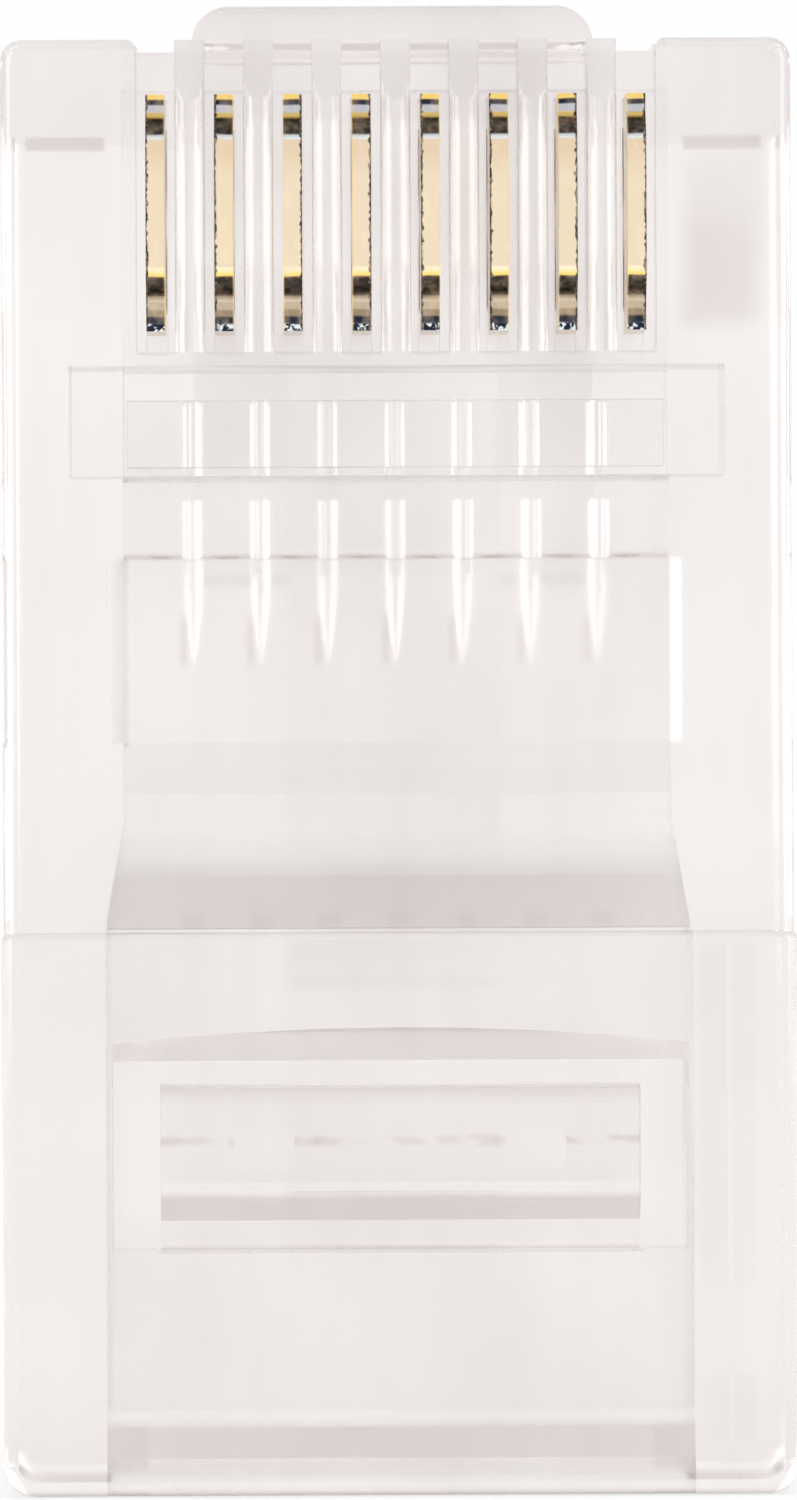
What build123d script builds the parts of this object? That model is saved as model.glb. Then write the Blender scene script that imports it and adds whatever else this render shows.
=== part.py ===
from build123d import *
import os
from math import cos, hypot, radians, sin, tan

# Eight-way modular plug, before crimping, standing on its cable end with its nose up.
# X runs across the contacts, Y from the contact side to the latch side, Z towards the nose.
# Every length is in millimetres.

# Moulding, outside
plug_width = 11.68
plug_length = 21.46
front_height = 6.60
rear_rise = 1.40
nose_to_step = 13.20
long_edge_radius = 0.22
nose_corner_radius = 0.32
rear_corner_radius = 0.45
step_edge_radius = 0.10

# Wire way, inside, from the nose to the cable end
nose_wall = 0.60
latch_wall = 1.10
channel_height = 1.10
channel_length = 7.06
channel_entry_radius = 0.15
passage_height = 2.30
passage_length = 2.74
passage_draft = 0.20
taper_length = 0.76
throat_height = 2.70
throat_length = 0.42
funnel_length = 1.58
funnel_bend_radius = 1.36
funnel_slope = 36.0
funnel_side_length = 1.45
cavity_wall = 1.60
cavity_width = 8.66
mouth_length = 0.53
mouth_flare = 0.55
mouth_slope = 39.5
mouth_slope_length = 0.55
mouth_radius = 0.40
wire_side_gap = 0.04

# Half-round ridges between the wires, with pointed tails towards the cable
ridge_radius = 0.15
ridge_reach = 1.60
ridge_tail = 1.40
ridge_gap = 0.31

# Contact comb
contact_count = 8
contact_pitch = 1.016
slot_width = 0.58
comb_depth = 2.00
comb_length = 4.63
web_setback = 0.10
rib_edge_radius = 0.20
rib_bevel_length = 0.92
rib_bevel_drop = 0.34
block_edge_radius = 0.15

# Contact blades, in their upper position
blade_thickness = 0.28
blade_length = 3.50
blade_setback = 0.82
blade_proud = 0.30
blade_clearance = 0.02
blade_slot_tail = 0.30
nose_heel_length = 0.30
tail_heel_length = 0.50
shoulder_drop = 0.42
rise_length = 0.30
crown_radius = 0.26
heel_radius = 0.14
blade_end_radius = 0.13
blade_step_inset = 0.40
blade_step_depth = 2.40
tine_length = 0.95
tine_gap = 0.50
crimp_stroke = 0.95

# Conductor strain-relief bar, in the narrow window behind the contacts
wire_bar_length = 1.00
wire_bar_height = 1.20
bar_side_gap = 0.05
wire_bar_swing = 32.0
wire_web_radius = 0.11
wire_web_length = 0.12
wire_web_inset = 0.20
wire_pocket_width = 9.70
wire_pocket_from_nose = 6.46

# Cable strain-relief bar, in the wide window of the rear section
cable_bar_width = 7.05
cable_bar_length = 2.00
cable_bar_recess = 0.10
cable_bar_front_radius = 0.30
cable_bar_rear_bevel = 0.42
cable_bar_rear_drop = 0.60
cable_bar_rear_radius = 0.30
cable_bar_line_width = 0.12
cable_bar_line_depth = 0.06
cable_bar_line_rise = 0.13
cable_bar_swing = 30.0
cable_web_radius = 0.13
cable_web_length = 0.34
cable_web_inset = 0.26
cable_window_width = 8.46
cable_window_from_rear = 3.60
cable_window_bevel = 0.49
cable_window_bevel_curve = 55.0
cable_bar_pad = 0.88
cable_bar_pad_length = 0.61
cable_bar_pad_depth = 0.10
cable_bar_pad_spacing = 4.00
cable_bar_pad_rise = 1.04

# Latch, moulded on at the nose and bent back over the latch face
latch_width = 6.10
latch_lever_width = 3.25
latch_reach = 0.85
latch_bend_inner = 0.30
latch_bend_wall = 0.70
latch_corner_radius = 0.62
latch_angle = 13.0
latch_press = 12.0
latch_root_radius = 0.27
latch_root_length = 0.70
latch_plate = 0.72
latch_length = 14.30
latch_shoulder = 7.90
latch_block_rise = 0.62
latch_block_length = 1.50
latch_block_ramp = 3.40
latch_lever_rise = 0.30
latch_tip_radius = 0.40

# Marks on the moulding
side_bevel_length = 1.40
side_bevel_drop = 0.45
side_panel_width = 1.20
side_panel_length = 2.78
side_panel_from_nose = 1.22
side_panel_depth = 0.20
side_panel_slope = 0.26
side_panel_foot = 0.05
side_panel_from_side = 0.28
side_groove_width = 0.12
side_groove_depth = 0.05
side_groove_from_rear = 0.75
side_groove_from_step = 0.15
ejector_diameter = 1.00
ejector_depth = 0.06
ejector_from_side = 1.02
ejector_from_rear = 2.50

# Fits and cuts
hinge_clearance = 0.02
swing_gap = 0.05
overrun = 1.0

# Places worked out from the sizes above
half_width = plug_width / 2
latch_face = front_height / 2
contact_face = -front_height / 2
rear_face = contact_face - rear_rise
step_z = plug_length - nose_to_step
wire_floor = latch_face - latch_wall
channel_roof = wire_floor - channel_height
passage_roof = wire_floor - passage_height
throat_roof = wire_floor - throat_height
cavity_roof = rear_face + cavity_wall
mouth_roof = cavity_roof - mouth_flare
mouth_slope_end = cavity_roof - mouth_slope_length * tan(radians(mouth_slope))
channel_end = plug_length - nose_wall
channel_start = channel_end - channel_length
passage_start = channel_start - passage_length
throat_end = passage_start - taper_length
throat_start = throat_end - throat_length
funnel_end = throat_start - funnel_length
funnel_bend_end = throat_start - funnel_bend_radius * sin(radians(funnel_slope))
funnel_bend_roof = throat_roof - funnel_bend_radius * (1 - cos(radians(funnel_slope)))
funnel_roof = funnel_bend_roof - (funnel_bend_end - funnel_end) * tan(radians(funnel_slope))
wire_width = contact_count * contact_pitch + wire_side_gap
comb_floor = contact_face + comb_depth
comb_half = (contact_count - 1) * contact_pitch / 2 + slot_width / 2
comb_start = plug_length - comb_length
blade_top = plug_length - blade_setback
blade_bottom = blade_top - blade_length
blade_crown = contact_face - blade_proud
blade_step = contact_face + blade_step_depth
contact_places = [(i - (contact_count - 1) / 2) * contact_pitch for i in range(contact_count)]
ridge_places = [(a + b) / 2 for a, b in zip(contact_places, contact_places[1:])]


def side_profile(points, width):
    """A solid with the given outline seen from the side, centred across the plug."""
    with BuildPart() as solid:
        with BuildSketch(Plane.YZ):
            with BuildLine():
                Polyline(points, close=True)
            make_face()
        extrude(amount=width / 2, both=True)
    return solid.part


def round_bar(radius, y, z, width):
    """A round bar across the plug, centred at a place seen from the side."""
    with BuildPart() as solid:
        with BuildSketch(Plane.YZ):
            with Locations((y, z)):
                Circle(radius)
        extrude(amount=width / 2, both=True)
    return solid.part


# Wire way: the one long void from the cable mouth to the nose wall, with rounded lead-ins
with BuildPart() as wire_way:
    with BuildSketch(Plane.YZ) as way_outline:
        with BuildLine():
            Polyline(
                (funnel_bend_roof, funnel_bend_end),
                (funnel_roof, funnel_end),
                (cavity_roof, funnel_end),
                (cavity_roof, mouth_length + mouth_slope_length),
                (mouth_slope_end, mouth_length),
                (mouth_roof, mouth_length),
                (mouth_roof, -overrun),
                (wire_floor, -overrun),
                (wire_floor, channel_end),
                (channel_roof, channel_end),
                (channel_roof, channel_start),
                (passage_roof, channel_start),
                (passage_roof, passage_start),
                (throat_roof, throat_end),
                (throat_roof, throat_start),
            )
            TangentArc(
                (throat_roof, throat_start),
                (funnel_bend_roof, funnel_bend_end),
                tangent=(0, -1),
            )
        make_face()
        for y, z, radius in (
            (channel_roof, channel_start, channel_entry_radius),
            (cavity_roof, mouth_length + mouth_slope_length, mouth_radius),
        ):
            fillet(way_outline.vertices().sort_by_distance((y, z))[0], radius)
    extrude(amount=cavity_width / 2, both=True)
    with BuildSketch(Plane.XZ):
        with BuildLine():
            Polyline(
                (cavity_width / 2, -overrun),
                (cavity_width / 2, throat_start - funnel_side_length),
                (wire_width / 2, throat_start),
                (wire_width / 2, channel_end),
                (-wire_width / 2, channel_end),
                (-wire_width / 2, throat_start),
                (-cavity_width / 2, throat_start - funnel_side_length),
                (-cavity_width / 2, -overrun),
                close=True,
            )
        make_face()
    extrude(amount=front_height + rear_rise, both=True, mode=Mode.INTERSECT)

    # The passage widens a little from its roof to its floor on the latch side
    with BuildSketch(Plane.XY.offset(passage_start)):
        with BuildLine():
            Polyline(
                (wire_width / 2 + passage_draft, wire_floor),
                (wire_width / 2, passage_roof),
                (-wire_width / 2, passage_roof),
                (-wire_width / 2 - passage_draft, wire_floor),
                close=True,
            )
        make_face()
    extrude(amount=passage_length)

# Bars and their webs swing about these lines, which stand just clear of their windows' rear walls
wire_pocket_rear = plug_length - wire_pocket_from_nose
wire_axis_y = channel_roof - wire_web_inset
wire_axis_z = wire_pocket_rear + wire_web_radius * sin(radians(wire_bar_swing)) + hinge_clearance
wire_bar_rear = wire_axis_z + wire_web_length
wire_bar_front = wire_bar_rear + wire_bar_length
wire_bar_top = channel_roof - wire_bar_height
wire_swing_radius = hypot(wire_bar_front - wire_axis_z, wire_bar_height - wire_web_inset)
wire_pocket_front = wire_axis_z + wire_swing_radius + swing_gap
wire_bar_width = wire_width - 2 * bar_side_gap

cable_axis_y = cavity_roof - cable_web_inset
cable_web_stand = cable_web_radius * sin(radians(cable_bar_swing)) + hinge_clearance
cable_axis_z = cable_window_from_rear + cable_web_stand
cable_bar_rear = cable_axis_z + cable_web_length
cable_bar_front = cable_bar_rear + cable_bar_length
cable_bar_top = rear_face + cable_bar_recess
cable_swing_radius = hypot(cable_bar_front - cable_axis_z, cable_axis_y - cable_bar_top)
cable_window_front = cable_axis_z + cable_swing_radius + swing_gap

# Ridges on the floor and the roof of the wire way, bare under the web of the conductor bar
ridge_start = channel_start - ridge_reach
ridge_break = wire_pocket_rear - ridge_gap
with BuildPart() as ridge_point:
    with BuildSketch(Plane.XZ):
        with BuildLine():
            Polyline((0, -ridge_tail), (0, 0), (ridge_radius, 0))
            TangentArc((ridge_radius, 0), (0, -ridge_tail), tangent=(0, -1))
        make_face()
    revolve(axis=Axis.Z)
with BuildPart() as ridges:
    for y, start, end in (
        (wire_floor, ridge_start + ridge_tail, ridge_break),
        (wire_floor, wire_pocket_rear, wire_bar_front),
        (channel_roof, channel_start, ridge_break),
    ):
        with BuildSketch(Plane.XY.offset(start)):
            with Locations([(x, y) for x in ridge_places]):
                Circle(ridge_radius)
        extrude(amount=end - start)
    with Locations([(x, wire_floor, ridge_start + ridge_tail) for x in ridge_places]):
        add(ridge_point.part)

# Latch root: the outer half of a bend that comes out of the nose and turns back
bend_outer = latch_bend_inner + latch_bend_wall
bend_y = latch_face + latch_bend_inner
bend_z = plug_length + latch_reach - bend_outer
latch_axis_y = bend_y + latch_bend_inner + latch_bend_wall / 2
latch_axis_z = bend_z - latch_root_radius * sin(radians(latch_press)) - hinge_clearance

# Housing: the outer moulding, less the wire way, windows, comb and blade slots
body_outline = [
    (latch_face, 0),
    (latch_face, plug_length),
    (contact_face, plug_length),
    (contact_face, step_z),
    (rear_face, step_z),
    (rear_face, 0),
]
with BuildPart() as latch_root:
    with BuildSketch(Plane.YZ):
        with Locations((bend_y, bend_z)):
            Circle(bend_outer)
            Circle(latch_bend_inner, mode=Mode.SUBTRACT)
            Rectangle(2 * bend_outer, bend_outer, align=(Align.CENTER, Align.MAX), mode=Mode.SUBTRACT)
    extrude(amount=latch_width / 2, both=True)
    with BuildSketch(Plane.XZ):
        with Locations((0, bend_z)):
            RectangleRounded(latch_width, 2 * bend_outer, latch_corner_radius)
    extrude(amount=bend_y + bend_outer, both=True, mode=Mode.INTERSECT)
    add(
        round_bar(latch_root_radius + hinge_clearance, latch_axis_y, latch_axis_z, latch_width),
        mode=Mode.SUBTRACT,
    )

# Comb gaps: all that is open between and above the ribs, whose crests are rounded along their length
with BuildPart() as comb_gaps:
    with BuildSketch(Plane.XY.offset(comb_start)):
        with Locations((0, contact_face - overrun)):
            Rectangle(2 * comb_half, comb_depth + overrun, align=(Align.CENTER, Align.MIN))
        for x in ridge_places:
            with BuildSketch(mode=Mode.PRIVATE) as rib:
                with Locations((x, contact_face)):
                    Rectangle(contact_pitch - slot_width, comb_depth, align=(Align.CENTER, Align.MIN))
                fillet(rib.vertices().group_by(Axis.Y)[0], rib_edge_radius)
            add(rib.sketch, mode=Mode.SUBTRACT)
    extrude(amount=comb_length + overrun)
    rib_bevel_outline = [
        (contact_face - overrun, plug_length - rib_bevel_length),
        (contact_face, plug_length - rib_bevel_length),
        (contact_face + rib_bevel_drop, plug_length),
        (contact_face + rib_bevel_drop, plug_length + overrun),
        (contact_face - overrun, plug_length + overrun),
    ]
    add(side_profile(rib_bevel_outline, 2 * comb_half))

    # Rounded inner corners of the two side blocks at the nose
    with BuildSketch(Plane.XZ.offset(overrun - contact_face)):
        with Locations((comb_half, plug_length - block_edge_radius)):
            Rectangle(block_edge_radius, block_edge_radius + overrun, align=(Align.MIN, Align.MIN))
        with Locations((comb_half + block_edge_radius, plug_length - block_edge_radius)):
            Circle(block_edge_radius, mode=Mode.SUBTRACT)
        mirror(about=Plane.YZ)
    extrude(amount=-comb_depth - overrun)

# A dished bevel along the nose-side edge of the wide window
with BuildPart() as window_bevel:
    window_bevel_plane = Plane(
        origin=(0, rear_face, cable_window_front + cable_window_bevel),
        x_dir=(1, 0, 0),
        z_dir=(0, 1, -1),
    )
    with BuildSketch(window_bevel_plane):
        with Locations((0, cable_window_bevel_curve)):
            Circle(cable_window_bevel_curve)
    extrude(amount=plug_width, both=True)
    with BuildSketch(Plane.XZ.offset(-rear_face + overrun)):
        with Locations((0, cable_window_front)):
            Rectangle(cable_window_width, 2 * cable_window_bevel)
    extrude(amount=-(cable_window_bevel + overrun), mode=Mode.INTERSECT)

with BuildPart() as housing:
    add(side_profile(body_outline, plug_width))
    fillet(housing.edges().filter_by(Axis.Y).group_by(Axis.Z)[-1], nose_corner_radius)
    fillet(housing.edges().filter_by(Axis.Y).group_by(Axis.Z)[0], rear_corner_radius)
    fillet(housing.edges().filter_by(Axis.Z), long_edge_radius)
    fillet(housing.edges().sort_by_distance((0, rear_face, step_z))[0], step_edge_radius)

    # Lead-in bevels on the latch side, each side of the latch root
    with BuildSketch(Plane.YZ.offset(latch_width / 2)):
        with BuildLine():
            Polyline(
                (latch_face + overrun, plug_length - side_bevel_length),
                (latch_face, plug_length - side_bevel_length),
                (latch_face - side_bevel_drop, plug_length),
                (latch_face - side_bevel_drop, plug_length + overrun),
                (latch_face + overrun, plug_length + overrun),
                close=True,
            )
        make_face()
    bevels = extrude(amount=plug_width, mode=Mode.SUBTRACT)
    mirror(bevels, about=Plane.YZ, mode=Mode.SUBTRACT)

    add(latch_root.part)
    add(wire_way.part - ridges.part, mode=Mode.SUBTRACT)

    # Comb: eight slots open to the nose, with their floors set back a little from it
    add(comb_gaps.part, mode=Mode.SUBTRACT)
    with BuildSketch(Plane.XZ.offset(-contact_face)):
        for x in contact_places:
            with Locations((x, plug_length - web_setback)):
                Rectangle(slot_width, web_setback + overrun, align=(Align.CENTER, Align.MIN))
    extrude(amount=-(channel_roof - contact_face), mode=Mode.SUBTRACT)

    # Blade slots through to the wire channels: long above the ledge, short below it
    for top, bottom, depth in (
        (
            blade_top + blade_clearance,
            blade_bottom - blade_slot_tail,
            blade_step + crimp_stroke + blade_clearance - comb_floor,
        ),
        (
            blade_top - blade_step_inset + blade_clearance,
            blade_bottom + blade_step_inset - blade_clearance,
            channel_roof - comb_floor,
        ),
    ):
        with BuildSketch(Plane.XZ.offset(-comb_floor)):
            for x in contact_places:
                with Locations((x, (top + bottom) / 2)):
                    Rectangle(blade_thickness + 2 * blade_clearance, top - bottom)
        extrude(amount=-depth, mode=Mode.SUBTRACT)

    # Narrow window: a wide pocket from the contact face, and a way through to the channels
    pocket_middle = (wire_pocket_front + wire_pocket_rear) / 2
    pocket_length = wire_pocket_front - wire_pocket_rear
    with BuildSketch(Plane.XZ.offset(-contact_face)):
        with Locations((0, pocket_middle)):
            Rectangle(wire_pocket_width, pocket_length)
    extrude(amount=-(wire_bar_top - contact_face), mode=Mode.SUBTRACT)
    with BuildSketch(Plane.XZ.offset(-wire_bar_top)):
        with Locations((0, pocket_middle)):
            Rectangle(wire_width, pocket_length)
    extrude(amount=-wire_bar_height, mode=Mode.SUBTRACT)

    # Wide window over the cable cavity
    with BuildSketch(Plane.XZ.offset(-rear_face + overrun)):
        with Locations((0, cable_window_from_rear)):
            window_length = cable_window_front - cable_window_from_rear
            Rectangle(cable_window_width, window_length, align=(Align.CENTER, Align.MIN))
    extrude(amount=-(cavity_roof - rear_face) - overrun, mode=Mode.SUBTRACT)
    add(window_bevel.part, mode=Mode.SUBTRACT)

    # Shallow seats for the webs of both bars
    for radius, y, z, width in (
        (wire_web_radius, wire_axis_y, wire_axis_z, wire_width),
        (cable_web_radius, cable_axis_y, cable_axis_z, cable_bar_width + 2 * bar_side_gap),
    ):
        add(round_bar(radius + hinge_clearance, y, z, width), mode=Mode.SUBTRACT)

    # Moulding marks: a panel in each side block that runs out towards the cable end
    panel_top = plug_length - side_panel_from_nose
    with BuildSketch(Plane.YZ.offset(half_width - side_panel_from_side - side_panel_width)):
        with BuildLine():
            Polyline(
                (latch_face + overrun, panel_top),
                (latch_face, panel_top),
                (latch_face - side_panel_depth, panel_top - side_panel_slope),
                (latch_face - side_panel_foot, panel_top - side_panel_length),
                (latch_face + overrun, panel_top - side_panel_length),
                close=True,
            )
        make_face()
    panel = extrude(amount=side_panel_width, mode=Mode.SUBTRACT)
    mirror(panel, about=Plane.YZ, mode=Mode.SUBTRACT)

    # A thin groove along each side of the rear section, and one round ejector mark on the right
    mark_x = half_width - ejector_from_side
    groove_length = step_z - side_groove_from_rear - side_groove_from_step
    with BuildSketch(Plane.XZ.offset(-rear_face)):
        with Locations((-mark_x, side_groove_from_rear), (mark_x, side_groove_from_rear)):
            Rectangle(side_groove_width, groove_length, align=(Align.CENTER, Align.MIN))
    extrude(amount=-side_groove_depth, mode=Mode.SUBTRACT)
    with BuildSketch(Plane.XZ.offset(-rear_face)):
        with Locations((mark_x, ejector_from_rear)):
            Circle(ejector_diameter / 2)
    extrude(amount=-ejector_depth, mode=Mode.SUBTRACT)

# Contact blades: one stamping, eight times
blade_outline = [
    (blade_crown + shoulder_drop, blade_bottom),
    (blade_crown + shoulder_drop, blade_bottom + tail_heel_length),
    (blade_crown, blade_bottom + tail_heel_length + rise_length),
    (blade_crown, blade_top - nose_heel_length - rise_length),
    (blade_crown + shoulder_drop, blade_top - nose_heel_length),
    (blade_crown + shoulder_drop, blade_top),
    (blade_step, blade_top),
    (blade_step, blade_top - blade_step_inset),
    (channel_roof, blade_top - blade_step_inset),
    (channel_roof, blade_bottom + blade_step_inset),
    (blade_step, blade_bottom + blade_step_inset),
    (blade_step, blade_bottom),
]
blades = []
for number, x in enumerate(contact_places, start=1):
    with BuildPart() as blade:
        with BuildSketch(Plane.YZ.offset(x)) as blade_sketch:
            with BuildLine():
                Polyline(blade_outline, close=True)
            make_face()
            heel_corners = blade_sketch.vertices().group_by(Axis.X)[1].sort_by(Axis.Y)
            fillet(heel_corners[1:-1], heel_radius)
            fillet([heel_corners[0], heel_corners[-1]], blade_end_radius)
            fillet(blade_sketch.vertices().group_by(Axis.X)[0], crown_radius)
            tine_middle = (blade_top + blade_bottom) / 2
            tine_base = (blade_length - 2 * blade_step_inset) / 2
            with BuildLine():
                Polyline(
                    (channel_roof - tine_length, tine_middle),
                    (channel_roof + overrun, tine_middle + tine_base / 2 + tine_gap),
                    (channel_roof + overrun, tine_middle - tine_base / 2 - tine_gap),
                    close=True,
                )
            make_face(mode=Mode.SUBTRACT)
        extrude(amount=blade_thickness / 2, both=True)
    blade.part.label = f"contact_{number}"
    blades.append(blade.part)

# Conductor bar with its thin web, whose round edge sits in the seat, and its share of the ridges
with BuildPart() as conductor_bar:
    with BuildSketch(Plane.YZ):
        with Locations((wire_bar_top, wire_bar_rear)):
            Rectangle(wire_bar_height, wire_bar_length, align=(Align.MIN, Align.MIN))
        with Locations((wire_axis_y, wire_axis_z)):
            Circle(wire_web_radius)
            Rectangle(2 * wire_web_radius, wire_web_length, align=(Align.CENTER, Align.MIN))
    extrude(amount=wire_bar_width / 2, both=True)
    with BuildSketch(Plane.XY.offset(wire_bar_rear)):
        with Locations([(x, channel_roof) for x in ridge_places]):
            Circle(ridge_radius)
    extrude(amount=wire_bar_length)

# Cable bar: a thick tongue with a steep rear bevel, two square pads and a fine line
with BuildPart() as cable_bar:
    with BuildSketch(Plane.YZ) as bar_outline:
        with BuildLine():
            Polyline(
                (cable_bar_top, cable_bar_front),
                (cavity_roof, cable_bar_front),
                (cavity_roof, cable_bar_rear),
                (cable_bar_top + cable_bar_rear_drop, cable_bar_rear),
                (cable_bar_top, cable_bar_rear + cable_bar_rear_bevel),
                close=True,
            )
        make_face()
        for z, radius in (
            (cable_bar_front, cable_bar_front_radius),
            (cable_bar_rear + cable_bar_rear_bevel, cable_bar_rear_radius),
        ):
            fillet(bar_outline.vertices().sort_by_distance((cable_bar_top, z))[0], radius)
        with Locations((cable_axis_y, cable_axis_z)):
            Circle(cable_web_radius)
            Rectangle(2 * cable_web_radius, cable_web_length, align=(Align.CENTER, Align.MIN))
    extrude(amount=cable_bar_width / 2, both=True)
    pad_z = cable_bar_rear + cable_bar_pad_rise
    with BuildSketch(Plane.XZ.offset(-cable_bar_top)):
        with GridLocations(cable_bar_pad_spacing, 0, 2, 1):
            with Locations((0, pad_z)):
                Rectangle(cable_bar_pad, cable_bar_pad_length)
    extrude(amount=-cable_bar_pad_depth, mode=Mode.SUBTRACT)
    with BuildSketch(Plane.XZ.offset(-cable_bar_top)):
        with Locations((0, pad_z + cable_bar_line_rise)):
            Rectangle(cable_bar_width, cable_bar_line_width)
    extrude(amount=-cable_bar_line_depth, mode=Mode.SUBTRACT)

# Latch tab: its own plane runs back from the root line and away from the body
tilt = radians(latch_angle)
arm_plane = Plane(
    origin=(0, latch_axis_y, latch_axis_z),
    x_dir=(0, sin(tilt), -cos(tilt)),
    z_dir=(1, 0, 0),
)
plate_half = latch_plate / 2
block_start = latch_shoulder - latch_block_length - latch_block_ramp
with BuildPart() as latch_tab:
    with BuildSketch(arm_plane):
        with BuildLine():
            Polyline(
                (0, latch_root_radius),
                (latch_root_length, plate_half),
                (latch_shoulder, plate_half),
                (latch_shoulder, -plate_half),
                (latch_root_length, -plate_half),
                (0, -latch_root_radius),
                close=True,
            )
        make_face()
        Circle(latch_root_radius)
    extrude(amount=latch_width / 2, both=True)
    block_width = (latch_width - latch_lever_width) / 2
    for start in (latch_lever_width / 2, -latch_width / 2):
        with BuildSketch(arm_plane.offset(start)):
            with BuildLine():
                Polyline(
                    (block_start, 0),
                    (block_start, plate_half),
                    (block_start + latch_block_ramp, plate_half + latch_block_rise),
                    (latch_shoulder, plate_half + latch_block_rise),
                    (latch_shoulder, 0),
                    close=True,
                )
            make_face()
        extrude(amount=block_width)
    with BuildSketch(arm_plane):
        with BuildLine():
            Polyline(
                (block_start, -plate_half),
                (block_start, plate_half),
                (latch_shoulder, plate_half + latch_lever_rise),
                (latch_length, plate_half + latch_lever_rise),
                (latch_length, -plate_half),
                close=True,
            )
        make_face()
    extrude(amount=latch_lever_width / 2, both=True)
    tip_lines = latch_tab.edges().filter_by(Axis.X).group_by(Axis.Z)[0]
    fillet(tip_lines, latch_tip_radius)

housing.part.label = "housing"
latch_tab.part.label = "latch_tab"
cable_bar.part.label = "cable_bar"
conductor_bar.part.label = "conductor_bar"

os.makedirs("parts", exist_ok=True)
export_step(housing.part, "parts/housing.step")
export_step(latch_tab.part, "parts/latch_tab.step")
export_step(cable_bar.part, "parts/cable_bar.step")
export_step(conductor_bar.part, "parts/conductor_bar.step")
for blade_part in blades:
    export_step(blade_part, f"parts/{blade_part.label}.step")
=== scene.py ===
# %% [markdown]
# # A clear modular plug, dressed
#
# The plug is one clear plastic moulding with eight gold-plated blades pressed into it. Its solids
# come ready made, in metres, and they stay as they are. What this file adds is everything that the
# eye judges: how light goes through the plastic, the plated metal, the light itself and the camera.

# %% Load the solids
import math

import bpy
from mathutils import Matrix, Vector

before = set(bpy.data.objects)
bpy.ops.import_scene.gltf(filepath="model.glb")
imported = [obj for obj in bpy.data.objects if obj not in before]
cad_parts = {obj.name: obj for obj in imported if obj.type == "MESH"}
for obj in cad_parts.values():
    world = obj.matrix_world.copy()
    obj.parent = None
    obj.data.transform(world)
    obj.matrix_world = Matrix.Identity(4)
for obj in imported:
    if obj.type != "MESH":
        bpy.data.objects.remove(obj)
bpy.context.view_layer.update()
MM = 0.001
print("solids loaded:", len(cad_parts))

# %% [markdown]
# ## Short words for shader maths
#
# A material is a graph of nodes. Written node by node it is long and hard to read, so one small
# class wraps an output socket and lets Python's own operators add the Math nodes. A bench holds
# one graph, and its `add` method makes any other node.


# %% A wire and a bench
class Wire:
    """An output socket. Arithmetic on wires adds Math nodes to the same graph."""

    def __init__(self, bench, socket):
        self.bench = bench
        self.socket = socket

    def maths(self, operation, *values, **settings):
        return self.bench.add("ShaderNodeMath", {"operation": operation, **settings}, values)

    def __add__(self, other):
        return self.maths("ADD", self, other)

    def __sub__(self, other):
        return self.maths("SUBTRACT", self, other)

    def __rsub__(self, other):
        return self.maths("SUBTRACT", other, self)

    def __mul__(self, other):
        return self.maths("MULTIPLY", self, other)

    def __truediv__(self, other):
        return self.maths("DIVIDE", self, other)

    def __abs__(self):
        return self.maths("ABSOLUTE", self)

    __radd__ = __add__
    __rmul__ = __mul__

    def ramp(self, start, end):
        """0 below start, 1 above end, and a smooth S curve between them."""
        return self.bench.add(
            "ShaderNodeMapRange",
            {"interpolation_type": "SMOOTHSTEP"},
            {"Value": self, "From Min": start, "From Max": end},
        )


def fill_ramp(ramp, stops):
    """Puts colour stops, pairs of a place from 0 to 1 and a colour, on a fresh ramp."""
    ramp.elements.remove(ramp.elements[1])
    ramp.elements[0].position, ramp.elements[0].color = stops[0]
    for place, colour in stops[1:]:
        ramp.elements.new(place).color = colour


class Bench:
    """One node graph, emptied and ready for new nodes."""

    def __init__(self, tree):
        self.tree = tree
        tree.nodes.clear()

    def add(self, kind, settings=None, sockets=None, out=0):
        """Makes a node, sets it up, feeds its sockets values or wires, and returns one output."""
        node = self.tree.nodes.new(kind)
        for name, value in (settings or {}).items():
            if name == "stops":
                fill_ramp(node.color_ramp, value)
            else:
                setattr(node, name, value)
        pairs = sockets.items() if isinstance(sockets, dict) else enumerate(sockets or ())
        for key, value in pairs:
            if isinstance(value, Wire):
                self.tree.links.new(value.socket, node.inputs[key])
            else:
                node.inputs[key].default_value = value
        return Wire(self, node.outputs[out]) if node.outputs else None

    def blend(self, factor, low, high):
        """A colour that goes from low to high as the factor goes from 0 to 1."""
        return self.add("ShaderNodeMix", {"data_type": "RGBA"}, {0: factor, 6: low, 7: high}, out=2)

    def part_of(self, vector, axis):
        """One of the three numbers of a vector."""
        return self.add("ShaderNodeSeparateXYZ", sockets=[vector], out=axis)

    def place(self):
        """Where a point is, on the object's own coordinates in metres."""
        return self.add("ShaderNodeTexCoord", out="Object")

    def along(self, axis):
        """Where a point is along one axis, in millimetres."""
        return self.part_of(self.place(), axis) / MM

    def speckle(self, size, stretch=(1.0, 1.0, 1.0), detail=0.0):
        """Smooth noise from 0 to 1 on the object's own coordinates, in grains of a given size."""
        place = self.place()
        squeezed = self.add("ShaderNodeVectorMath", {"operation": "DIVIDE"}, [place, stretch])
        return self.add(
            "ShaderNodeTexNoise", sockets={"Vector": squeezed, "Scale": 1 / size, "Detail": detail}
        )


def grey(level):
    return (level, level, level, 1.0)


WHITE = grey(1.0)


# %% [markdown]
# ## The camera
#
# The photograph looks level at the contact side from about 20 cm. The eight contacts stand
# 1.016 mm and 68.8 pixels apart, which gives the scale of the picture: 67.7 pixels to a
# millimetre at the contact face. The plug leans a quarter of a degree, so the camera rolls by
# that much, and its far wall shows that it is also turned by nearly half a degree.

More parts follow.
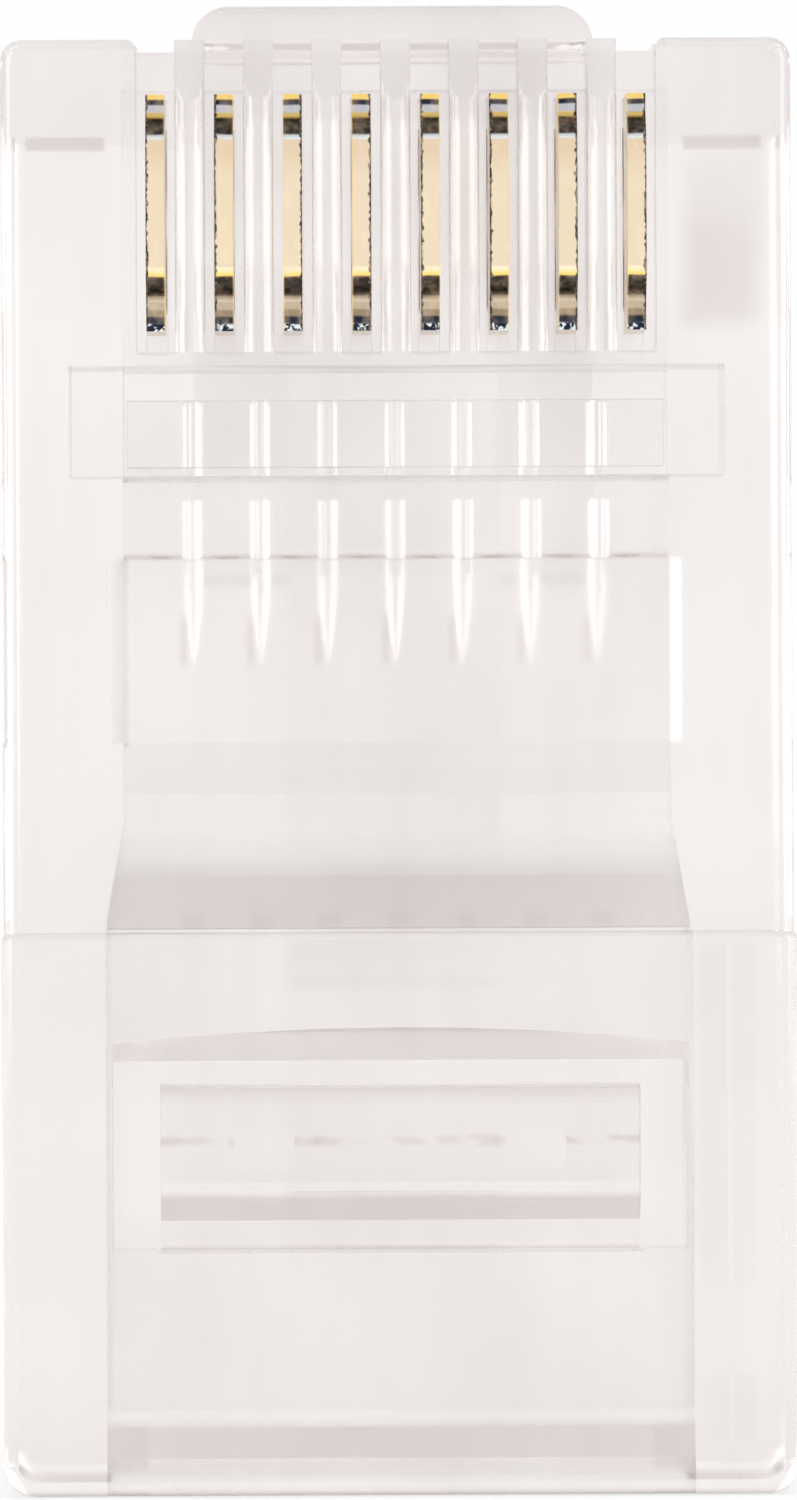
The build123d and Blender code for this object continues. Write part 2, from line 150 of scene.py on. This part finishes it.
# %% Camera
IMAGE_HEIGHT = 1500
PIXELS_PER_MM = 67.7
CAMERA_DISTANCE = 201.0 * MM
CONTACT_FACE = -3.3 * MM
EYE_HEIGHT = 10.94 * MM
EYE_OFFSET = 0.004 * MM
CAMERA_YAW = math.radians(-0.45)
CAMERA_ROLL = math.radians(-0.25)
SENSOR = 36.0
NEAR_CLIP = 0.01

camera_data = bpy.data.cameras.new("camera")
camera_data.sensor_width = SENSOR
view_height = IMAGE_HEIGHT / PIXELS_PER_MM * MM
camera_data.lens = SENSOR * CAMERA_DISTANCE / view_height
camera_data.clip_start = NEAR_CLIP
camera = bpy.data.objects.new("camera", camera_data)
bpy.context.scene.collection.objects.link(camera)
turn = Matrix.Rotation(CAMERA_YAW, 4, "Z")
look = turn @ Matrix.Rotation(math.radians(90), 4, "X") @ Matrix.Rotation(CAMERA_ROLL, 4, "Z")
aim = Vector((EYE_OFFSET, CONTACT_FACE, EYE_HEIGHT))
back = turn @ Vector((0, -1, 0))
camera.matrix_world = Matrix.Translation(aim + back * CAMERA_DISTANCE) @ look
bpy.context.scene.camera = camera
print("lens in mm:", round(camera_data.lens, 1))

# %% [markdown]
# ## Surroundings of clear plastic
#
# Clear plastic has almost no colour of its own. What is seen in it is the room: straight through
# the flat walls, and turned up, down or sideways by every slope and edge. So the room is made in
# three tones, as on a product table. It is pale and faintly warm straight across the table from
# each of the four sides, brighter at the corners, where the soft boxes stand, and greyer above
# and below. The flat walls then show pale, upright edges show as bright lines, and slopes that
# lean forward or back show as soft grey. Polished metal gets a darker ceiling, so that its
# shoulders show. The camera itself sees plain white.

# %% World
world = bpy.data.worlds.new("studio")
bpy.context.scene.world = world
world.use_nodes = True
room = Bench(world.node_tree)
direction = room.add("ShaderNodeTexCoord", out="Generated")
along_x = room.part_of(direction, "X")
along_y = room.part_of(direction, "Y")
rise = abs(room.part_of(direction, "Z"))
seen_by_camera = room.add("ShaderNodeLightPath", out="Is Camera Ray")
seen_in_gloss = room.add("ShaderNodeLightPath", out="Is Glossy Ray")
seen_through = room.add("ShaderNodeLightPath", out="Is Transmission Ray")

ACROSS_TONE = (0.935, 0.902, 0.888, 1.0)
SLOPE_TONE = (0.700, 0.640, 0.630, 1.0)
SLOPE_RISE = (0.17, 0.87)
CORNER_GAIN = 0.45
CORNER_EDGE = (0.005, 0.25)
GLOSS_LEVEL = 0.95
GLOSS_DROP = 0.30
CEILING_RISE = (0.45, 0.85)
FILL_LEVEL = 0.75

# The sine of twice the bearing is 0 along both axes and 1 half way between them
corner = 2 * along_x * along_y / (along_x * along_x + along_y * along_y)
toward_corner = (corner * corner).ramp(*CORNER_EDGE)
tone = room.blend(rise.ramp(*SLOPE_RISE), ACROSS_TONE, SLOPE_TONE)
gloss = GLOSS_LEVEL - GLOSS_DROP * rise.ramp(*CEILING_RISE)
unseen = seen_in_gloss * gloss + (1 - seen_in_gloss) * FILL_LEVEL
level = seen_through * (1 + CORNER_GAIN * toward_corner) + (1 - seen_through) * unseen
strength = seen_by_camera + (1 - seen_by_camera) * level
background = room.add(
    "ShaderNodeBackground",
    sockets={"Color": room.blend(seen_through, WHITE, tone), "Strength": strength},
)
room.add("ShaderNodeOutputWorld", sockets=[background])
print("nodes in the world:", len(world.node_tree.nodes))

# %% [markdown]
# ## Floor
#
# The plug stands on a plain pale table. The table is seen edge on by this camera and has to be as
# white as the air above it, and it still has to take the plug's shadow, so its paint is a mix of
# a plain pale surface and a glow that only the eye sees. Far from the plug the glow takes over,
# so the table has no horizon. Seen through the plastic, the glow has nearly the tone of the room,
# with a painted shadow that makes it a little darker close to the plug, and the room's tone at its
# far end.

# %% Floor
FLOOR_HALF = 3.0
FLOOR_DROP = 0.02 * MM
NEAR_PLUG = (6 * MM, 60 * MM)
FADE_OUT = (40 * MM, 300 * MM)
TABLE_END = (480 * MM, 750 * MM)
# The tone of the painted shadow close to the plug, as seen through the plastic
PAINTED_SHADOW_TONE = (0.860, 0.815, 0.805, 1.0)
TABLE_TONE = (0.888, 0.850, 0.834, 1.0)
TABLE_GREY = 0.9
GLOW_NEAR = 0.75
GLOW_THROUGH = 0.95

floor_mesh = bpy.data.meshes.new("floor")
around = ((-1, -1), (1, -1), (1, 1), (-1, 1))
corners = [(x * FLOOR_HALF, y * FLOOR_HALF, -FLOOR_DROP) for x, y in around]
floor_mesh.from_pydata(corners, [], [(0, 1, 2, 3)])
floor = bpy.data.objects.new("floor", floor_mesh)
bpy.context.scene.collection.objects.link(floor)
print("floor reaches, in m:", FLOOR_HALF)

# %% Floor paint
floor_paint = bpy.data.materials.new("pale_table")
floor_paint.use_nodes = True
table = Bench(floor_paint.node_tree)
matte = table.add("ShaderNodeBsdfDiffuse", sockets={"Color": grey(TABLE_GREY)})
far = table.add("ShaderNodeVectorMath", {"operation": "LENGTH"}, [table.place()], out="Value")
straight = table.add("ShaderNodeLightPath", out="Is Camera Ray")
bent = table.add("ShaderNodeLightPath", out="Is Transmission Ray")
# Painted shadow: seen through the plastic, the table's glow darkens close to the plug
shadowed_table_tone = table.blend(far.ramp(*NEAR_PLUG), PAINTED_SHADOW_TONE, TABLE_TONE)
room_tone = table.blend(far.ramp(*TABLE_END), shadowed_table_tone, ACROSS_TONE)
glow_colour = table.blend(bent, WHITE, room_tone)
glow = table.add("ShaderNodeEmission", sockets={"Color": glow_colour, "Strength": 1.0})
glow_seen = GLOW_NEAR + (1 - GLOW_NEAR) * far.ramp(*FADE_OUT)
glow_share = glow_seen * straight + GLOW_THROUGH * bent
mixed = table.add("ShaderNodeMixShader", sockets=[glow_share, matte, glow])
table.add("ShaderNodeOutputMaterial", sockets=[mixed])
floor_mesh.materials.append(floor_paint)
print("nodes in the floor's paint:", len(floor_paint.node_tree.nodes))

# %% [markdown]
# ## Lamps
#
# Two soft boxes at the sides and one above light the table and put long soft highlights on the
# round edges. They are kept out of what is seen through the plastic, where they would be blots,
# and the top one is kept out of the metal as well.


# %% Soft boxes
def soft_box(name, place, size, watts, in_gloss):
    """A rectangular lamp at a place, facing the middle of the plug. Lengths are in metres."""
    data = bpy.data.lights.new(name, "AREA")
    data.shape = "RECTANGLE"
    data.size, data.size_y = size
    data.energy = watts
    lamp = bpy.data.objects.new(name, data)
    lamp.location = place
    toward = Vector((0, 0, EYE_HEIGHT)) - Vector(place)
    lamp.rotation_euler = toward.to_track_quat("-Z", "Y").to_euler()
    lamp.visible_camera = False
    lamp.visible_transmission = False
    lamp.visible_glossy = in_gloss
    bpy.context.scene.collection.objects.link(lamp)


soft_box("left_box", place=(-0.35, -0.25, 0.15), size=(0.25, 0.35), watts=0.6, in_gloss=True)
soft_box("right_box", place=(0.35, -0.25, 0.15), size=(0.25, 0.35), watts=0.6, in_gloss=True)
soft_box("top_box", place=(0.0, -0.05, 0.45), size=(0.35, 0.35), watts=0.9, in_gloss=False)
print("lamps:", len(bpy.data.lights))

# %% [markdown]
# ## Clear plastic
#
# The moulding is polycarbonate. It bends light strongly, index 1.585, so a slope of 40 degrees
# inside it turns light round completely. The polish of the mould is never perfect: the skin is a
# little wavy, duller in soft patches, and faintly streaked the way the melt ran, from the cable
# end to the nose. All three come from noise on the object's own coordinates, long along Z for
# the streaks. Light takes on the tint at every face that it crosses.

# %% Clear plastic
PLASTIC_INDEX = 1.585
POLISH = 0.07
DULLNESS = 0.05
PATCH = 2.4 * MM
PATCH_EDGE = (0.30, 0.70)
PATCH_SHARE = 0.6
STREAK = 0.5 * MM
STREAK_EDGE = (0.35, 0.75)
STREAK_STRETCH = (1.0, 1.0, 14.0)
WAVE = 1.1 * MM
WAVE_HEIGHT = 0.004 * MM
CLEAREST = (1.000, 0.996, 0.995, 1.0)
DUSTIEST = (0.952, 0.942, 0.940, 1.0)
# The grey of the marks, which is also the grey of the painted shade
MARK_AND_SHADE_GREY = (0.78, 0.73, 0.72, 1.0)


def clear_plastic(name, tint=1.0, marks=None, matt=None):
    """Clear plastic of a given tint. Functions of the graph may lay grey marks, some of them
    painted shade, and matt faces.
    """
    paint = bpy.data.materials.new(name)
    paint.use_nodes = True
    moulded = Bench(paint.node_tree)
    patches = moulded.speckle(PATCH).ramp(*PATCH_EDGE)
    streaks = moulded.speckle(STREAK, stretch=STREAK_STRETCH).ramp(*STREAK_EDGE)
    tinted = (patches * PATCH_SHARE + streaks * (1 - PATCH_SHARE)) * tint
    colour = moulded.blend(tinted, CLEAREST, DUSTIEST)
    # Grey marks, some of them painted shade, tint the plastic
    if marks:
        colour = moulded.blend(marks(moulded), colour, MARK_AND_SHADE_GREY)
    roughness = POLISH + DULLNESS * patches
    if matt:
        roughness = roughness + matt(moulded)
    waves = moulded.speckle(WAVE)
    skin = moulded.add(
        "ShaderNodeBump", sockets={"Strength": 1.0, "Distance": WAVE_HEIGHT, "Height": waves}
    )
    body = moulded.add(
        "ShaderNodeBsdfPrincipled",
        sockets={
            "Base Color": colour,
            "Roughness": roughness,
            "IOR": PLASTIC_INDEX,
            "Transmission Weight": 1.0,
            "Normal": skin,
        },
    )
    moulded.add("ShaderNodeOutputMaterial", sockets=[body])
    return paint


# %% [markdown]
# ## Grey marks, painted shade and matt faces
#
# A mark is a grey tint, and a matt spot is a rougher skin. Both are laid through masks. The usual
# mask is a box with soft edges, worked out for all three axes in one vector node, because every
# node here is run again at each of the many faces that light crosses. Places are in millimetres.
#
# - The right side block has a dull panel that fades towards the nose.
# - Below it, behind the step, runs a grey strip with a clear line down its middle. The round
#   mark of the ejector pin interrupts it.
# - A row of soft grey dots, painted shade, ends the funnel, one under each ridge, and a thin
#   painted shadow lies beside each pointed tail.
# - The slope of the mouth is greyer with painted shade, most of all at its two ends.
# - The core of the mould was less polished on three slopes, on the left wall of the wire way and
#   on the front of the comb, so these scatter the light a little.


# %% Masks
PITCH_IN_MM = 1.016
WHOLE_AXIS = (-1000.0, 1000.0)


def box_mask(graph, soft, **spans):
    """1 inside the spans given for X, Y or Z, 0 outside, over an edge soft by that much."""
    starts, ends = zip(*(spans.get(axis, WHOLE_AXIS) for axis in "XYZ"))
    middle = [(start + end) / 2 * MM for start, end in zip(starts, ends)]
    half = [(end - start) / 2 for start, end in zip(starts, ends)]
    place = graph.place()
    shifted = graph.add("ShaderNodeVectorMath", {"operation": "SUBTRACT"}, [place, middle])
    away = graph.add("ShaderNodeVectorMath", {"operation": "ABSOLUTE"}, [shifted])
    edge_start = [(reach - soft) * MM for reach in half]
    edge_end = [(reach + soft) * MM for reach in half]

    # The vector sockets share their names with the plain ones, so they go by number: the vector,
    # where the edge starts and ends, and what it goes from and to
    inside = graph.add(
        "ShaderNodeMapRange",
        {"data_type": "FLOAT_VECTOR", "interpolation_type": "SMOOTHSTEP"},
        {6: away, 7: edge_start, 8: edge_end, 9: (1.0, 1.0, 1.0), 10: (0.0, 0.0, 0.0)},
        out="Vector",
    )
    return graph.part_of(inside, "X") * graph.part_of(inside, "Y") * graph.part_of(inside, "Z")


def near_ridge(graph, shift, core, rim):
    """1 within core of a middle between two wires, moved by a shift, and 0 beyond rim.

    All three are shares of the pitch. Half a pitch is added to X, so that each such middle falls
    on a half, and 20 whole ones, so that FRACT meets no negative number.
    """
    column = graph.along("X") / PITCH_IN_MM + (20.5 - shift)
    return 1 - abs(column.maths("FRACT", column) - 0.5).ramp(core, rim)


# %% Marks and painted shade on the housing
PANEL = {"X": (4.30, 5.40), "Z": (17.3, 19.7)}
PANEL_FADE = (18.2, 19.4)
STRIP = {"X": (4.42, 5.22), "Y": (-4.8, -4.5), "Z": (0.8, 8.1)}
STRIP_MIDDLE = 4.84
EJECTOR_HEIGHT = 2.40
CLOUD = 1.2 * MM
SHADE_DOT_SPANS = {"X": (-3.5, 3.5), "Y": (-1.5, -1.0), "Z": (8.30, 8.52)}
TAILS = {"X": (-3.6, 3.4), "Y": (1.9, 2.4), "Z": (12.25, 12.95)}
MOUTH_SHADE_SPANS = {"Y": (-3.75, -3.0), "Z": (0.35, 1.00)}
MOUTH_END_SHADE = (3.66, 3.78)


def right_side_marks(graph):
    """The dull panel of the right block, and the grey strip with a clear line down its middle."""
    cloudy = 0.55 + 0.45 * graph.speckle(CLOUD).ramp(0.30, 0.65)
    fading = 1 - 0.6 * graph.along("Z").ramp(*PANEL_FADE)
    panel = box_mask(graph, 0.20, **PANEL) * fading
    off_line = abs(graph.along("X") - STRIP_MIDDLE).ramp(0.02, 0.08)
    off_ejector = abs(graph.along("Z") - EJECTOR_HEIGHT).ramp(0.55, 0.75)
    strip = box_mask(graph, 0.08, **STRIP) * off_line * off_ejector
    return cloudy * (0.90 * panel + 0.32 * strip)


def housing_marks_and_painted_shade(graph):
    """The marks of the right side, and painted shade: dots at the funnel's end, shadows beside the
    tails and a greyer mouth.
    """
    # Painted shade: grey dots under the ridges at the funnel's end, and a thin shadow beside each
    # tail
    painted_shade_dots = near_ridge(graph, 0.0, 0.05, 0.28) * box_mask(graph, 0.10, **SHADE_DOT_SPANS)
    shadows = near_ridge(graph, -0.15, 0.02, 0.09) * box_mask(graph, 0.15, **TAILS)
    # Painted shade on the slope of the mouth, darkest at its two ends
    ends = abs(graph.along("X")).ramp(*MOUTH_END_SHADE)
    mouth = box_mask(graph, 0.10, **MOUTH_SHADE_SPANS) * (0.35 + 0.65 * ends)
    return right_side_marks(graph) + 0.55 * painted_shade_dots + shadows + mouth


# %% Less polished faces of the housing
# Each row gives the roughness added, the softness of the edge and the spans of the box
MATT_FACES = {
    "comb": (0.10, 0.05, {"X": (-4.0, 4.0), "Y": (-3.4, -2.85), "Z": (16.9, 21.5)}),
    "funnel": (0.20, 0.25, {"Y": (-1.6, -0.2), "Z": (8.1, 9.75)}),
    "mouth": (0.14, 0.05, {"Y": (-3.7, -3.05), "Z": (0.3, 1.3)}),
    "window bevel": (0.12, 0.05, {"Y": (-4.64, -3.0), "Z": (6.0, 7.1)}),
    "left wall": (0.35, 0.02, {"X": (-4.40, -4.00), "Y": (-0.35, 2.17), "Z": (11.0, 13.85)}),
}


def housing_matt(graph):
    """What the less polished faces add to the roughness."""
    return sum(added * box_mask(graph, soft, **spans) for added, soft, spans in MATT_FACES.values())


# %% [markdown]
# ## The bar that clamps the cable
#
# The bar carries two small square pads and, between them, the ragged line that the mould's insert
# left. The line is a thin soft band at one height, broken up by noise, and the face is a shade
# greyer than its clean pads.

# %% Marks on the cable bar
LINE_HEIGHT = 5.19
LINE_WANDER = 0.20
PAD_PLACE = 2.0
PAD_EDGE = (0.42, 0.46)
PAD_MIDDLE = 5.065
PAD_RIM = (0.29, 0.32)


def bar_marks(graph):
    """The ragged line, and a faint grey on the face everywhere but on the two pads."""
    wander = (graph.speckle(0.5 * MM, detail=2.0) - 0.5) * LINE_WANDER
    from_line = abs(graph.along("Z") + wander - LINE_HEIGHT)
    line = (1 - from_line.ramp(0.02, 0.09)) * graph.speckle(0.4 * MM).ramp(0.35, 0.60)
    beside_pad = abs(abs(graph.along("X")) - PAD_PLACE).ramp(*PAD_EDGE)
    over_pad = abs(graph.along("Z") - PAD_MIDDLE).ramp(*PAD_RIM)
    off_pads = beside_pad.maths("MAXIMUM", beside_pad, over_pad)
    return off_pads * (0.09 + 0.8 * line)


# %% The three plastics
clear = clear_plastic("clear_plastic", marks=housing_marks_and_painted_shade, matt=housing_matt)
clear_bar = clear_plastic("clear_bar", marks=bar_marks)
clear_latch = clear_plastic("clear_latch", tint=1.2)
print("plastics made:", clear.name, clear_bar.name, clear_latch.name)

# %% [markdown]
# ## Gold plate
#
# The blades are stamped from bronze strip and plated. Seen from the front, each blade is a ladder
# of bands painted with light and shade: a rubbed pale flat in the middle that touches the
# socket's springs, its paleness a painted highlight, deeper yellow where it rounds off, shoulders
# so steep that they are painted dark as shade, painted glints at the top of the flat and at the
# low end, and two small heels at the ends painted with grey, tan and dark reflections. A painted
# shade of the gap lies along one side, on the left of four blades and on the right of the others,
# and a painted highlight along the other. The bands are a colour ramp along Z, on the faces that
# look forward only, and the shaded edge is a mask across X with a noisy width.

# %% The bands along a blade
BLADE_HALF_IN_MM = 0.14
# The gold itself, and the colours of painted highlights, reflections and shade along a blade
GOLD = (1.00, 0.70, 0.20, 1.0)
PALE_FLAT_HIGHLIGHT = (0.94, 0.79, 0.575, 1.0)
WORN_AND_SHADED_BEIGE = (0.87, 0.69, 0.49, 1.0)
TAN_REFLECTION = (0.60, 0.49, 0.36, 1.0)
BROWN_REFLECTION = (0.36, 0.27, 0.18, 1.0)
STEEL_REFLECTION = (0.56, 0.57, 0.62, 1.0)
GLINT = (0.84, 0.92, 0.95, 1.0)
SHOULDER_SHADE = (0.045, 0.036, 0.030, 1.0)
DARK_REFLECTION = (0.020, 0.026, 0.045, 1.0)
# Two colours of the painted shade in the gap beside a blade
GAP_SHADE_DARK = (0.060, 0.045, 0.036, 1.0)
GAP_SHADE_BROWN = (0.36, 0.27, 0.20, 1.0)
SIDE_GOLD = (0.89, 0.80, 0.66, 1.0)

# From and to along Z, in millimetres. The bands paint the metal's light and shade: a highlight,
# glints, dark shoulders and reflections on the heels
PAINTED_LIGHT_BANDS = (
    (17.15, 17.23, GLINT),
    (17.26, 17.34, DARK_REFLECTION),
    (17.37, 17.44, BROWN_REFLECTION),
    (17.47, 17.58, TAN_REFLECTION),
    (17.70, 17.925, SHOULDER_SHADE),
    (17.95, 17.97, GOLD),
    (18.04, 19.40, PALE_FLAT_HIGHLIGHT),
    (19.80, 19.95, WORN_AND_SHADED_BEIGE),
    (19.97, 20.02, GLINT),
    (20.04, 20.27, SHOULDER_SHADE),
    (20.29, 20.35, GOLD),
    (20.38, 20.47, STEEL_REFLECTION),
    (20.49, 20.55, DARK_REFLECTION),
    (20.57, 20.63, GOLD),
)
BAND_WOBBLE = 0.03
LOW_HEEL_END = (17.24, 17.27)
WOBBLE_GRAIN = 0.30 * MM
RUB_GRAIN = 0.16 * MM
GAP_SHADE_GRAIN = 0.10 * MM
FINE_GRAIN = 0.07 * MM
BAND_LOW = PAINTED_LIGHT_BANDS[0][0]
BAND_SPAN = PAINTED_LIGHT_BANDS[-1][1] - BAND_LOW
stops = [((z - BAND_LOW) / BAND_SPAN, colour) for low, high, colour in PAINTED_LIGHT_BANDS for z in (low, high)]
print("colour stops along a blade:", len(stops))


# %% Gold plate
def gold_plate(name, shaded_side):
    """Plated metal with painted shade along the side given as -1 for left or 1 for right."""
    paint = bpy.data.materials.new(name)
    paint.use_nodes = True
    plated = Bench(paint.node_tree)
    normal = plated.add("ShaderNodeNewGeometry", out="Normal")
    forward = (plated.part_of(normal, "Y") * -1).ramp(0.15, 0.35)

    # The ladder of painted light and shade bands, with random wear, and dark specks that break the
    # low glint
    wobble = (plated.speckle(WOBBLE_GRAIN) - 0.5) * BAND_WOBBLE
    along = plated.along("Z") + wobble
    painted_light_ladder = plated.add("ShaderNodeValToRGB", {"stops": stops}, [(along - BAND_LOW) / BAND_SPAN])
    rubbed = plated.speckle(RUB_GRAIN, stretch=(1.0, 1.0, 2.5), detail=4.0).ramp(0.35, 0.80)
    worn_painted_ladder = plated.blend(rubbed * 0.30, painted_light_ladder, WORN_AND_SHADED_BEIGE)
    low_heel = 1 - along.ramp(*LOW_HEEL_END)
    # Painted reflection: dark specks break up the painted glint on the low heel
    glint_breaks = plated.speckle(FINE_GRAIN, detail=2.0).ramp(0.44, 0.52) * low_heel
    worn_painted_ladder = plated.blend(glint_breaks, worn_painted_ladder, DARK_REFLECTION)

    # The painted shade of the gap along one side, and a painted highlight along the other.
    # The edge runs from -1 at one side of the blade to 1
    column = plated.along("X") / PITCH_IN_MM
    across = column.maths("FRACT", column) - 0.5
    edge = across * (PITCH_IN_MM / BLADE_HALF_IN_MM * shaded_side)
    rag = (plated.speckle(GAP_SHADE_GRAIN, detail=4.0) - 0.5) * 0.9
    gap_shade = (edge + rag).ramp(0.74, 0.86)
    # Painted highlight: a bright gold line along the other side of the blade
    edge_highlight = (edge * -1).ramp(0.84, 0.94) * 0.5
    gap_shade_mottle = plated.speckle(FINE_GRAIN, detail=2.0).ramp(0.40, 0.65)
    gap_shade_colour = plated.blend(gap_shade_mottle, GAP_SHADE_DARK, GAP_SHADE_BROWN)
    front = plated.blend(gap_shade, plated.blend(edge_highlight, worn_painted_ladder, GOLD), gap_shade_colour)
    colour = plated.blend(forward, SIDE_GOLD, front)
    roughness = 0.16 + 0.18 * rubbed + 0.20 * gap_shade * forward
    metal = plated.add(
        "ShaderNodeBsdfPrincipled",
        sockets={"Base Color": colour, "Metallic": 1.0, "Roughness": roughness},
    )
    plated.add("ShaderNodeOutputMaterial", sockets=[metal])
    return paint


gap_shade_left = gold_plate("gold_plate_gap_shade_left", -1)
gap_shade_right = gold_plate("gold_plate_gap_shade_right", 1)
print("gold plates made:", gap_shade_left.name, gap_shade_right.name)

# %% Dress the solids
# Blades that have the painted gap shade on their left side
LEFT_GAP_SHADE_BLADES = (1, 2, 5, 6)
for name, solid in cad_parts.items():
    paint = {"cable_bar": clear_bar, "latch_tab": clear_latch}.get(name, clear)
    if name.startswith("contact_"):
        paint = gap_shade_left if int(name[-1]) in LEFT_GAP_SHADE_BLADES else gap_shade_right
    if not solid.material_slots:
        solid.data.materials.append(paint)
    for slot in solid.material_slots:
        slot.material = paint
    print(name, "wears", paint.name)

# %% [markdown]
# ## Hand over
#
# The view transform is the plain one. Light may bounce many times, because a ray that is cut off
# inside the plastic comes out black.

# %% Finish
BOUNCES = 32
bpy.context.scene.view_settings.view_transform = "Standard"
bpy.context.scene.cycles.max_bounces = BOUNCES
bpy.context.scene.cycles.transmission_bounces = BOUNCES
bpy.context.scene.cycles.glossy_bounces = BOUNCES
